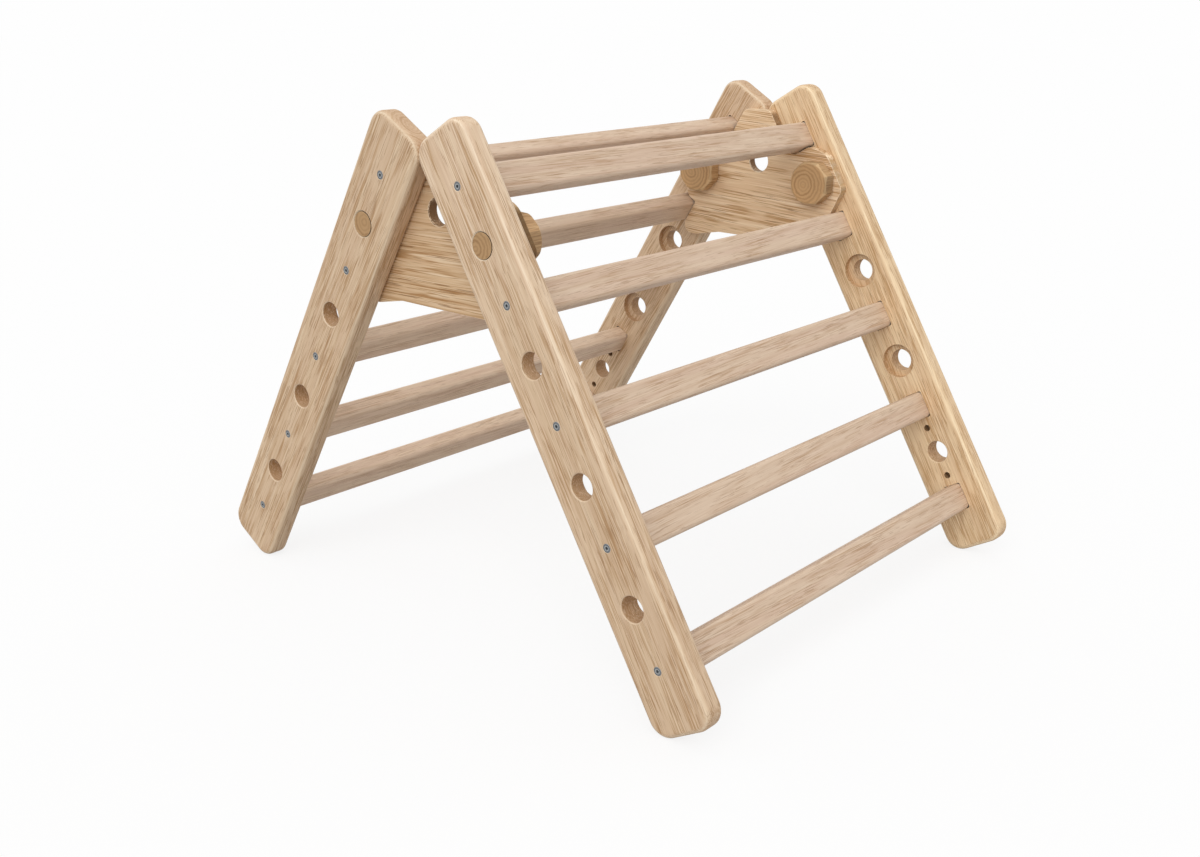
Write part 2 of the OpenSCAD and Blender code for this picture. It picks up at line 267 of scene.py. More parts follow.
@dataclass(frozen=True)
class WoodFinish:
    """A sanded timber without varnish. Sizes are in millimetres, across and along the fibres in a pair."""

    name: str
    light: Colour
    tan: Colour
    line: Colour
    cream: Colour
    pink: Colour
    pore: Colour
    end: Colour
    # bore: walls of holes, browner as painted shade; seam: painted shade in joints and gaps.
    bore: Colour
    seam: Colour = (58, 42, 29)
    ring: float = 5.0
    ring_strength: float = 0.5
    cream_strength: float = 0.35
    wander: float = 9.0
    wobble: float = 4.5
    wobble_size: float = 11.0
    flatness: float = 1.6
    thread: Pair = (1.0, 110.0)
    streak: Pair = (1.25, 80.0)
    streak_level: float = 0.765
    streak_strength: float = 0.65
    vein: Pair = (3.0, 190.0)
    vein_width: float = 0.075
    vein_strength: float = 0.6
    dash: Pair = (0.8, 24.0)
    pore_level: float = 0.745
    pore_strength: float = 0.6
    pink_strength: float = 0.4
    wear_strength: float = 0.15
    wear_line: float = 0.75
    end_strength: float = 0.6
    end_contrast: float = 0.85
    roughness: float = 0.52

    def material(self) -> Material:
        """Builds the shader.

        The yearly rings are a saw of the distance from the pith, pulled about by slow noise. Noise drawn out
        along the fibres gives the tone, its highest lumps are dark streaks and pores, and where it crosses a
        half is a fine vein, with a pale line beside it. The arrises are paler, partly from sanding and
        partly as a painted highlight, with a painted highlight line down their middle. Each board has a tint
        of its own, on some boards painted light and on some painted shade. The walls of holes are browner
        with painted shade, and the joints and gaps dark with painted shade.

        Returns:
            The material, which reads the mesh's own grain, fibre, tint, arris and recess attributes.
        """
        made, t = new_material(self.name)
        place = t.vector("MULTIPLY", t.attribute("grain"), (1000.0,) * 3)

        def drawn(width: float, length: float, detail: float, shift: float) -> Value:
            """Noise whose lumps are drawn out along the fibres."""
            return t.noise(place, (width, width, length), detail, shift)

        drift = drawn(70.0, 420.0, 2.0, 3.1) - 0.5
        ripple = drawn(self.wobble_size, 120.0, 2.0, 8.4) - 0.5
        parts = t.node("SeparateXYZ", {0: place})
        across = Value(t, parts.outputs["X"])
        through = Value(t, parts.outputs["Y"]) * self.flatness
        radius = (across * across + through * through) ** 0.5
        year = (radius + drift * (2.0 * self.wander) + ripple * self.wobble) / self.ring
        phase = year.math("FRACT")
        count = year.math("FLOOR")
        own = t.node("CombineXYZ", {0: count * 9.7, 1: count * 3.3, 2: parts.outputs["Z"]})
        age = t.noise(own.outputs[0], (3.0, 3.0, 110.0), 1.0, 5.2).rise(0.36, 0.64)
        late = phase.peak(0.78, 0.2) * age
        early = phase.peak(0.2, 0.26)

        thread = drawn(*self.thread, 3.0, 14.6)
        streak = drawn(*self.streak, 1.0, 57.1)
        vein = drawn(*self.vein, 1.0, 51.3)
        fine = drawn(0.45, 18.0, 2.0, 21.0)
        broad = drawn(9.0, 240.0, 1.0, 27.3)
        patch = drawn(15.0, 70.0, 2.0, 33.9)
        tone = (thread * 0.65 + broad * 0.5 + fine * 0.3 - 0.22).rise(0.28, 0.78)
        dark = (streak + patch * 0.3).rise(self.streak_level, self.streak_level + 0.05)
        veins = vein.peak(0.5, self.vein_width) * patch.rise(0.38, 0.55)
        beside = vein.peak(0.5 + 1.5 * self.vein_width, self.vein_width)
        pale = (thread - patch * 0.2).rise(0.36, 0.26)
        dash = drawn(*self.dash, 1.0, 40.2)
        pores = (dash + patch * 0.25 + early * 0.07).rise(self.pore_level, self.pore_level + 0.06)

        pair = {0: t.node("TexCoord").outputs["Normal"], 1: t.attribute("fibre")}
        end = t.value("VectorMath", pair, "Value", operation="DOT_PRODUCT")
        end = abs(end).rise(0.5, 0.95)
        arris = t.factor("arris")
        # Arrises paler, partly as wear and partly as a painted highlight; line is a painted highlight down
        # their middle.
        worn_and_highlight = arris.rise(0.05, 0.3) * arris.rise(0.95, 0.7) * (0.6 + fine * 0.8)
        line = arris.peak(0.45, 0.19) * (patch * 0.6 + fine * 0.5).rise(0.38, 0.6)
        recess = t.factor("recess")

        colour = t.blend(tone, self.light, self.tan)
        light = (early * age * 0.6 + pale * 0.7 + beside * 0.5) * self.cream_strength
        bands = phase.peak(0.62, 0.44) * (0.35 + age * 0.5) * self.end_contrast
        for factor, over in (
            (broad.rise(0.42, 0.62) * self.pink_strength, self.pink),
            (light, self.cream),
            (late * self.ring_strength, self.line),
            (veins * self.vein_strength, self.line),
            (dark * self.streak_strength, self.line),
            (pores * self.pore_strength * (1 - end * 0.8), self.pore),
            (end * self.end_strength, t.blend(bands, self.end, self.line)),
            (worn_and_highlight * self.wear_strength, self.cream),
            (line * self.wear_line, self.cream),
        ):
            colour = t.blend(factor, colour, over)
        colour = t.vector("MULTIPLY", colour, t.attribute("tint"))
        # Painted shade on the walls of holes and ledges, with the bore's grain through it.
        sawn = recess.rise(0.0, IN_HOLE) * (0.15 + thread.rise(0.36, 0.62) * 0.85)
        colour = t.blend(sawn, colour, self.bore)
        # Painted shade in joints, gaps and pin holes, where the recess value is high.
        colour = t.blend(recess.rise(0.6, 0.95) * 0.9, colour, self.seam)

        height = fine * 0.5 + thread * 0.5 - pores * 0.9 - dark * 0.4 - veins * 0.3 - late * 0.25
        bump = t.node("Bump", {"Strength": 0.25, "Distance": 0.0004, "Height": height})
        rough = self.roughness + fine * 0.12 + end * 0.1
        given = {"Base Color": colour, "Roughness": rough, "Normal": bump.outputs[0]}
        t.output(t.node("BsdfPrincipled", given | {"Specular IOR Level": 0.4}))
        return made


@dataclass(frozen=True)
class ZincFinish:
    """Zinc plate on a steel screw, darker in the ring between its rim and its recess, with painted shade in
    the recess.
    """

    name: str
    bright: Colour
    dull: Colour
    ring: Colour
    roughness: float = 0.42

    def material(self) -> Material:
        """Builds the shader: cloudy zinc, toned by the mesh's own distance from the screw's axis."""
        made, t = new_material(self.name)
        place = t.node("TexCoord").outputs["Object"]
        cloud = t.noise(place, (0.0012,) * 3, 3.0, 4.0).rise(0.3, 0.7)
        speck = t.noise(place, (0.0003,) * 3, 1.0, 9.0)
        away = t.factor("from_axis")
        colour = t.blend(cloud, self.dull, self.bright)
        colour = t.blend(away.peak(0.0034, 0.0013), colour, self.ring)
        # Painted shade in the star recess.
        colour = t.blend(away.rise(0.0018, 0.0012), colour, self.ring)
        bump = t.node("Bump", {"Strength": 0.15, "Distance": 0.0001, "Height": speck})
        rough = self.roughness + speck * 0.15
        given = {"Base Color": colour, "Roughness": rough, "Normal": bump.outputs[0], "Metallic": 0.6}
        t.output(t.node("BsdfPrincipled", given))
        return made


RAIL_WOOD = WoodFinish(
    name="rail_ash", light=(221, 193, 161), tan=(204, 173, 137), line=(170, 128, 82), cream=(238, 217, 188),
    pink=(213, 182, 153), pore=(146, 104, 62), end=(212, 178, 145), bore=(178, 137, 92), ring_strength=0.3,
    streak_level=0.772, vein_strength=0.65,
)
RUNG_WOOD = WoodFinish(
    name="rung_ash", light=(222, 197, 172), tan=(208, 180, 153), line=(182, 145, 110), cream=(234, 213, 190),
    pink=(215, 184, 163), pore=(160, 123, 90), end=(208, 176, 142), bore=(196, 158, 114), ring=6.0,
    ring_strength=0.3, flatness=1.0, thread=(0.9, 90.0), streak=(1.2, 70.0), streak_level=0.775,
    streak_strength=0.6, vein=(2.8, 170.0), vein_width=0.06, vein_strength=0.5, pore_level=0.765,
    pore_strength=0.5, wear_line=0.3,
)
PLATE_WOOD = WoodFinish(
    name="plate_oak", light=(219, 186, 147), tan=(203, 168, 127), line=(164, 118, 67), cream=(238, 214, 182),
    pink=(218, 182, 144), pore=(132, 88, 44), end=(114, 82, 48), bore=(128, 94, 60), ring=9.0,
    cream_strength=0.55, flatness=1.0, wander=7.0, streak=(1.5, 120.0), streak_level=0.775,
    streak_strength=0.85, vein=(4.2, 190.0), vein_width=0.05, vein_strength=0.8, dash=(1.1, 52.0),
    pore_level=0.8, pore_strength=0.75, end_strength=0.85, end_contrast=0.25, wear_strength=1.0,
    wear_line=0.5,
)
PEG_WOOD = WoodFinish(
    name="peg_beech", light=(196, 158, 114), tan=(180, 141, 96), line=(146, 107, 66), cream=(214, 181, 136),
    pink=(190, 151, 109), pore=(122, 86, 50), end=(194, 155, 110), bore=(160, 122, 80), ring=4.6,
    ring_strength=0.45, wander=2.0, wobble_size=7.0, flatness=1.0, pore_level=0.78, pore_strength=0.5,
    end_strength=0.9, wear_strength=0.7, wear_line=0.0,
)
ZINC = ZincFinish(name="screw_zinc", bright=(180, 182, 181), dull=(144, 147, 148), ring=(98, 102, 107))


@dataclass(frozen=True)
class Stance:
    """How the open frame stands: the ladders' lean, where their top rungs are, and the faces along Y."""

    lean: float = math.radians(30.97)
    top_x: float = 0.055138
    top_z: float = 0.478131
    pitch: float = 0.120
    rail_out: float = 0.300
    rail_in: float = 0.276
    plate_out: float = 0.2757
    plate_in: float = 0.2637

    def to_open(self, points: Array, ladder: Ladder) -> Array:
        """Carries ladder points (v, y, s) to the open frame.

        x = ±(top_x + s sin lean + v cos lean) and z = top_z - s cos lean + v sin lean.

        Args:
            points: an array whose last axis is (v, y, s).
            ladder: the ladder that they belong to.

        Returns:
            An array of the same shape whose last axis is (x, y, z).
        """
        v, y, s = np.moveaxis(points, -1, 0)
        sin, cos = math.sin(self.lean), math.cos(self.lean)
        x = ladder.value * (self.top_x + s * sin + v * cos)
        return np.stack([x, y, self.top_z - s * cos + v * sin], -1)

    def to_ladder(self, points: Array, ladder: Ladder) -> Array:
        """Carries points of the open frame back to ladder points (v, y, s), the reverse of to_open."""
        x, y, z = np.moveaxis(points, -1, 0)
        sin, cos = math.sin(self.lean), math.cos(self.lean)
        dx, dz = ladder.value * x - self.top_x, z - self.top_z
        return np.stack([dx * cos + dz * sin, y, dx * sin - dz * cos], -1)

    def below_rung(self, s: Array, last: int) -> Array:
        """How far points lie below the nearest rung, of the top one and as many as last under it."""
        return s - np.clip(np.round(s / self.pitch), 0, last) * self.pitch

    def peg_axis(self, ladder: Ladder) -> Array:
        """Point on the axis of a ladder's pegs, half a pitch below its top rung."""
        return self.to_open(np.array([0.0, 0.0, self.pitch / 2]), ladder)

    def fibre(self, ladder: Ladder) -> Vector:
        """Direction of a rail's fibres in the open frame."""
        return Vector((ladder.value * math.sin(self.lean), 0.0, -math.cos(self.lean)))

    def outward(self, ladder: Ladder) -> Vector:
        """Direction straight out from a ladder."""
        return Vector((ladder.value * math.cos(self.lean), 0.0, math.sin(self.lean)))


def circle(points: int) -> Array:
    """Angles of points spaced evenly round a circle."""
    return np.arange(points) * (2 * math.pi / points)


def turned(radii: Array, along: Array) -> Array:
    """Rings round the second axis: points (r cos t, a, r sin t), with t in even steps round the circle.

    Args:
        radii: a row for each ring, with r for each of its points.
        along: a for each ring.

    Returns:
        An array (rings, points, 3).
    """
    angle = circle(radii.shape[1])
    level = np.broadcast_to(along[:, None], radii.shape)
    return np.stack([radii * np.cos(angle), level, radii * np.sin(angle)], -1)


def linked(name: str, data: bpy.types.ID) -> Piece:
    """Puts a mesh, lamp or camera into the scene as an object."""
    made = bpy.data.objects.new(name, data)
    bpy.context.scene.collection.objects.link(made)
    return made


def lofted(name: str, sections: Array) -> Piece:
    """Makes closed solids from stacks of closed sections, joined ring to ring and capped at both ends.

    Point (i, j) of a stack joins (i, j + 1), (i + 1, j + 1) and (i + 1, j), with j round the section.

    Args:
        name: the new object's name.
        sections: an array (solids, rings, points, 3).

    Returns:
        The object, with its faces outwards.
    """
    index = np.arange(sections[..., 0].size).reshape(sections.shape[:3])
    near, far = index[:, :-1], index[:, 1:]
    quads = np.stack([near, np.roll(near, -1, 2), np.roll(far, -1, 2), far], -1).reshape(-1, 4)
    caps = np.concatenate([index[:, 0, ::-1], index[:, -1]])
    mesh = bpy.data.meshes.new(name)
    mesh.from_pydata(sections.reshape(-1, 3).tolist(), [], quads.tolist() + caps.tolist())
    shell = bmesh.new()
    shell.from_mesh(mesh)
    bmesh.ops.recalc_face_normals(shell, faces=shell.faces)
    shell.to_mesh(mesh)
    shell.free()
    return linked(name, mesh)


def cad_copy(node: str) -> Piece:
    """Copies a CAD node to a new board, with its loose triangles merged and its flat faces made whole.

    Args:
        node: the CAD node to copy.

    Returns:
        The board.
    """
    name = f"{node}_board"
    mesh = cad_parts[node].data.copy()
    mesh.name = name
    mesh.materials.clear()
    shell = bmesh.new()
    shell.from_mesh(mesh)
    bmesh.ops.remove_doubles(shell, verts=shell.verts, dist=2e-6)
    bmesh.ops.dissolve_degenerate(shell, edges=shell.edges, dist=1e-6)
    bmesh.ops.dissolve_limit(shell, angle_limit=math.radians(0.4), verts=shell.verts, edges=shell.edges)
    shell.to_mesh(mesh)
    shell.free()
    if "custom_normal" in mesh.attributes:
        mesh.attributes.remove(mesh.attributes["custom_normal"])
    return linked(name, mesh)


def bevelled(piece: Piece, width: float, segments: int) -> Piece:
    """Rounds the edges of a piece that turn by more than 40 degrees, and keeps the result in its mesh.

    Args:
        piece: the object to work on.
        width: width of the rounding.
        segments: faces across it.

    Returns:
        The same object.
    """
    bevel = piece.modifiers.new("edge", "BEVEL")
    bevel.width = width
    bevel.segments = segments
    bevel.limit_method = "ANGLE"
    bevel.angle_limit = math.radians(40.0)
    graph = bpy.context.evaluated_depsgraph_get()
    rounded = bpy.data.meshes.new_from_object(piece.evaluated_get(graph))
    rounded.name = piece.data.name
    piece.modifiers.clear()
    piece.data = rounded
    return piece


def vectors(items: bpy.types.bpy_prop_collection, key: str) -> Array:
    """One vector of each vertex or face of a mesh, as an array (items, 3)."""
    flat = np.zeros(3 * len(items), np.float32)
    items.foreach_get(key, flat)
    return flat.reshape(-1, 3).astype(float)


def coordinates(piece: Piece) -> Array:
    """Vertices of a piece as an array of points."""
    return vectors(piece.data.vertices, "co")


def faces(piece: Piece) -> tuple[Array, Array]:
    """Middles and normals of a piece's faces, as two arrays of points."""
    return vectors(piece.data.polygons, "center"), vectors(piece.data.polygons, "normal")


def carried(piece: Piece, name: str, domain: str, values: Array) -> None:
    """Keeps an array in a piece's mesh: for each point or face a number or, of an array (n, 3), a vector."""
    kind, key = ("FLOAT_VECTOR", "vector") if values.ndim == 2 else ("FLOAT", "value")
    layer = piece.data.attributes.new(name, kind, domain)
    layer.data.foreach_set(key, values.astype(np.float32).ravel())


def shaded(piece: Piece, angle: float, material: Material) -> None:
    """Gives a piece its material and smooth shading, except over edges that turn by more than an angle."""
    mesh = piece.data
    mesh.materials.append(material)
    mesh.polygons.foreach_set("use_smooth", np.ones(len(mesh.polygons), bool))
    mesh.set_sharp_from_angle(angle=math.radians(angle))
    weighted = piece.modifiers.new("shading", "WEIGHTED_NORMAL")
    weighted.keep_sharp = True
    weighted.weight = 80


def dressed(
    piece: Piece, grain: Array, fibre: Vector, flat: Vector, recess: Array | float,
    material: Material, seed: int, tint: Array | Colour,
) -> None:
    """Gives a wooden piece its grain, its arrises paler with wear and a painted highlight, painted shade in
    its recesses, its finish and smooth shading.

    The arris value of a face is the angle from its normal to that of the flat faces, over a right angle.

    Args:
        piece: the object to dress.
        grain: where each vertex lies in its timber: across, through and along the fibres from the pith.
        fibre: direction of the fibres.
        flat: normal of the piece's flat faces.
        recess: for each face how much painted shade it gets: nought outside, IN_HOLE on the wall of a hole
            and IN_JOINT in a joint.
        material: the wood.
        seed: picks another stretch of timber for each piece.
        tint: a factor on the finish's red, green and blue, for the whole piece or for each vertex.
    """
    rng = np.random.default_rng(seed)
    run_out = rng.uniform(0.01, 0.035) * rng.choice([-1.0, 1.0])
    along = grain[:, 2]
    shift = np.stack([run_out * along, 0.3 * run_out * along, np.full(len(grain), 2.3 * seed)], -1)
    carried(piece, "grain", "POINT", grain + shift)
    carried(piece, "fibre", "POINT", np.broadcast_to(fibre, grain.shape))
    carried(piece, "tint", "POINT", np.broadcast_to(tint, grain.shape))
    straight = np.clip(np.abs(faces(piece)[1] @ np.array(flat)), 0, 1)
    carried(piece, "arris", "FACE", np.arccos(straight) / (math.pi / 2))
    carried(piece, "recess", "FACE", np.broadcast_to(recess, straight.shape))
    shaded(piece, 38.0, material)


def placed(piece: Piece, body: str, node: str) -> None:
    """Makes a piece stand for a CAD node, and reports it.

    Args:
        piece: the finished object.
        body: the body that it moves with.
        node: the node that it stands for, which is then hidden.
    """
    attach(piece, body)
    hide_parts(node)
    log.info("%s: %d faces, on %s", piece.name, len(piece.data.polygons), body)


@dataclass
class SideRails:
    """The four side rails: boards with rounded ends, peg holes, sockets and mortises."""

    stance: Stance
    finish: WoodFinish
    arris: float = 0.0004
    pith_spread: float = 0.007
    hole_reach: float = 0.0212
    hole_rim: float = 0.0011
    socket_wall: float = 0.0195
    mortise: tuple[float, float, float] = (0.0118, 0.0172, 0.0085)
    pin: Pair = (0.0044, 0.0105)
    pin_away: float = 0.031
    lip: float = 0.01
    down_tone: float = 0.24
    right_front_tint: Colour = (1.20, 1.21, 1.14)
    left_front_top: Colour = (1.15, 1.19, 1.26)
    top_z: Pair = (0.36, 0.47)

    def build(self, node: str) -> Piece:
        """Copies one rail and takes the sharpness off its mortises and holes."""
        return bevelled(cad_copy(node), self.arris, 2)

    def grain(self, piece: Piece, ladder: Ladder, side: Side, seed: int) -> Array:
        """Timber coordinates of a rail, whose pith runs down the board a few millimetres off its middle."""
        middle = side.value * (self.stance.rail_out + self.stance.rail_in) / 2
        pith = np.random.default_rng(seed).uniform(-1, 1, 2) * self.pith_spread
        local = self.stance.to_ladder(coordinates(piece), ladder)
        return local - np.array([pith[0], middle + 0.4 * pith[1], 0.0])

    def recess(self, piece: Piece, ladder: Ladder) -> Array:
        """Tells which faces of a rail lie in its peg holes, mortises and pin holes, and how much painted
        shade each gets.

        A face lies in a hole where it is nearer to the axis than the hole's radius and deeper than its rim,
        and in a mortise where it is within half the mortise's width and depth of a rung's middle.

        Args:
            piece: the rail.
            ladder: its ladder.

        Returns:
            For each face the painted shade: about IN_HOLE in a peg hole, the more the further it faces down,
                ON_LEDGE
            in its socket, IN_SHADE in a pin hole, and IN_JOINT in a mortise and on its lower lip.
        """
        middles, normals = faces(piece)
        v, y, s = np.moveaxis(self.stance.to_ladder(middles, ladder), -1, 0)
        from_in, from_out = np.abs(y) - self.stance.rail_in, self.stance.rail_out - np.abs(y)
        pitch = self.stance.pitch
        away = np.hypot(v, self.stance.below_rung(s - pitch / 2, 3))
        hole = (away < self.hole_reach) & (from_in > self.arris) & (from_out > self.hole_rim)
        ledge = hole & (np.abs(normals[:, 1]) > 0.7) & (away < self.socket_wall)
        inside = from_in > 1.1 * self.arris
        pin_away = np.hypot(v, np.abs(s - 3.5 * pitch) - self.pin_away)
        pins = inside & (pin_away < self.pin[0]) & (from_in < self.pin[1])
        below = self.stance.below_rung(s, 4)
        wide, tall, deep = self.mortise
        mouth = (np.abs(v) < wide) & (np.abs(below) < tall) & (from_in < deep)
        # Only the lip below the rung, where shade falls, gets painted shade.
        lip = (below > self.lip) & (from_in > 0.2 * self.arris)
        # Walls of holes get more painted shade the further they face down.
        wall = IN_HOLE - self.down_tone * normals[:, 2]
        choices = [mouth & (inside | lip), pins, ledge, hole]
        return np.select(choices, [IN_JOINT, IN_SHADE, ON_LEDGE, wall], 0.0)

    def tint(self, piece: Piece, ladder: Ladder, side: Side) -> Array | Colour:
        """Tone of a rail: the front right one is paler, as painted light, and the front left one grows paler
        towards its top.

        Args:
            piece: the rail.
            ladder: its ladder.
            side: its side.

        Returns:
            A factor on the colour, for each vertex of the front left rail.
        """
        if ladder is Ladder.BACK:
            return PLAIN
        if side is Side.RIGHT:
            return self.right_front_tint
        return 1 + progress(coordinates(piece)[:, 2:], *self.top_z) * (np.array(self.left_front_top) - 1)

    def make(self) -> None:
        """Builds and dresses all four."""
        wood = self.finish.material()
        for ladder, side in product(Ladder, Side):
            seed = 11 + 2 * ladder.value + side.value
            node = joined(ladder, side, "rail")
            piece = self.build(node)
            grain, recess = self.grain(piece, ladder, side, seed), self.recess(piece, ladder)
            tint = self.tint(piece, ladder, side)
            dressed(piece, grain, self.stance.fibre(ladder), ALONG_Y, recess, wood, seed, tint)
            placed(piece, joined(ladder, "frame"), node)


@dataclass
class Rungs:
    """The ten rungs: flat bars with rounded long edges, let into the rails."""

    stance: Stance
    finish: WoodFinish
    width: float = 0.032
    depth: float = 0.022
    radius: float = 0.005
    corner_points: int = 9
    end: float = 0.2837
    end_round: float = 0.0008
    count: int = 5
    pith_away: float = 0.034
    back_tint: Colour = (1.1, 1.11, 1.12)

    def build(self, ladder: Ladder, number: int) -> Piece:
        """Carries the rounded section of a rung along Y, drawn in at both ends.

        At a turn t of the end's rounding e the section is inset by i = e(1 - cos t), at end - e(1 - sin t).
        Its corners are (±(depth/2 - r) + (r - i) sin u, ±(width/2 - r) + (r - i) cos u), over quarter turns.

        Args:
            ladder: its ladder.
            number: its place from the top, from one.

        Returns:
            The rung.
        """
        turns = np.linspace(math.pi / 2, 0, 4)
        bend = self.radius - self.end_round * (1 - np.cos(turns))
        bend = np.concatenate([bend, bend[::-1]])[:, None, None]
        reach = self.end - self.end_round * (1 - np.sin(turns))
        reach = np.concatenate([reach, -reach[::-1]])[:, None]
        corner = (np.arange(4)[:, None] + np.linspace(0, 1, self.corner_points)) * (math.pi / 2)
        s_sign, v_sign = np.array([[1, -1, -1, 1], [1, 1, -1, -1]])[..., None]
        v = v_sign * (self.depth / 2 - self.radius) + bend * np.sin(corner)
        s = s_sign * (self.width / 2 - self.radius) + bend * np.cos(corner)
        v, s = v.reshape(len(reach), -1), s.reshape(len(reach), -1) + (number - 1) * self.stance.pitch
        local = np.stack([v, np.broadcast_to(reach, v.shape), s], -1)
        return lofted(joined(ladder, "rung", number, "bar"), self.stance.to_open(local[None], ladder))

    def grain(self, piece: Piece, ladder: Ladder, number: int, seed: int) -> Array:
        """Timber coordinates of a rung, sawn well away from the pith so that its lines run straight."""
        local = self.stance.to_ladder(coordinates(piece), ladder)
        turn = np.random.default_rng(seed).uniform(0, 2 * math.pi)
        across = local[:, 2] - (number - 1) * self.stance.pitch - self.pith_away * math.cos(turn)
        return np.stack([across, local[:, 0] - self.pith_away * math.sin(turn), local[:, 1]], -1)

    def make(self) -> None:
        """Builds and dresses all ten."""
        wood = self.finish.material()
        for ladder, number in product(Ladder, range(1, self.count + 1)):
            seed = 40 + 7 * number + ladder.value
            piece = self.build(ladder, number)
            grain = self.grain(piece, ladder, number, seed)
            # The lower back rungs are made paler: painted light.
            tint = self.back_tint if ladder is Ladder.BACK and number > 2 else PLAIN
            dressed(piece, grain, ALONG_Y, self.stance.outward(ladder), 0.0, wood, seed, tint)
            placed(piece, joined(ladder, "frame"), joined(ladder, "rung", number))


@dataclass
class HingePlates:
    """The two hinge plates, with softened edges and their fibres running from ladder to ladder."""

    stance: Stance
    finish: WoodFinish
    edge: float = 0.0016
    pith_below: float = 0.30
    slope: float = 0.035
    eye_z: float = 0.445131
    eye_reach: float = 0.0150
    rung_reach: Pair = (0.0142, 0.0192)
    # Painted light on the right plate, and painted shade and light on the edges of the two lobes.
    tints: tuple[Colour, Colour] = (PLAIN, (1.18, 1.24, 1.32))
    lobe_tints: tuple[Colour, Colour] = ((0.62, 0.55, 0.38), (1.75, 1.95, 2.2))
    lobe_x: float = 0.06
    sawn_depth: float = 0.0002
    cut_share: Pair = (0.5, 0.7)

    def build(self, node: str) -> Piece:
        """Copies one plate and rounds its edges."""
        return bevelled(cad_copy(node), self.edge, 3)

    def grain(self, piece: Piece, side: Side) -> Array:
        """Timber coordinates of a plate: height across the fibres, thickness through them, and X along them.

        In the right plate the height is taken from a line that falls towards the front, as its fibres do.
        """
        points = coordinates(piece)
        middle = side.value * (self.stance.plate_out + self.stance.plate_in) / 2
        height = points[:, 2] + (1 + side.value) * self.slope * points[:, 0] - self.pith_below
        return np.stack([height, points[:, 1] - middle, points[:, 0]], -1)

    def recess(self, piece: Piece) -> Array:
        """Tells which faces of a plate lie in its round hole or along a rung, about a gap away, to get
        painted shade.

        Args:
            piece: the plate.

        Returns:
            For each face the painted shade: IN_HOLE in the hole and BY_RUNG along a rung.
        """
        middles, normals = faces(piece)
        edge = np.abs(normals[:, 1]) < 0.9
        hole = edge & (np.hypot(middles[:, 0], middles[:, 2] - self.eye_z) < self.eye_reach)
        along = np.zeros(len(middles), bool)
        for ladder in Ladder:
            v, _, s = np.moveaxis(self.stance.to_ladder(middles, ladder), -1, 0)
            away = np.abs(self.stance.below_rung(s, 1))
            along |= (np.abs(v) < self.rung_reach[0]) & (away < self.rung_reach[1])
        return np.select([edge & along, hole], [BY_RUNG, IN_HOLE], 0.0)

    def tint(self, piece: Piece, side: Side) -> Array:
        """Tone of a plate: one over the whole board, painted light on the right plate, and another on the
        sawn edge of its front lobe, painted shade on the left plate and painted light on the right one.

        A vertex lies on that edge where it is further from the flat faces than sawn_depth. The edge takes
        its tone where it cuts the fibres, so by how far it faces along X.

        Args:
            piece: the plate.
            side: its side.

        Returns:
            A factor on the colour for each vertex.
        """
        points = coordinates(piece)
        away = np.abs(points[:, 1])
        depth = np.minimum(away - self.stance.plate_in, self.stance.plate_out - away)
        across, _, up = np.moveaxis(vectors(piece.data.vertex_normals, "vector"), -1, 0)
        cut = progress(np.abs(across) / np.maximum(np.hypot(across, up), 1e-6), *self.cut_share)
        share = np.where((depth > self.sawn_depth) & (points[:, 0] > self.lobe_x), cut, 0.0)[:, None]
        which = list(Side).index(side)
        # Painted light on the right board; painted shade on the left lobe's edge, painted light on the right
        # one's.
        return np.array(self.tints[which]) * (1 - share + share * np.array(self.lobe_tints[which]))

    def make(self) -> None:
        """Builds and dresses both."""
        wood = self.finish.material()
        for side in Side:
            node = joined(side, "plate")
            piece = self.build(node)
            grain, recess, tint = self.grain(piece, side), self.recess(piece), self.tint(piece, side)
            dressed(piece, grain, ALONG_X, ALONG_Y, recess, wood, 90 + side.value, tint)
            placed(piece, "back_frame", node)


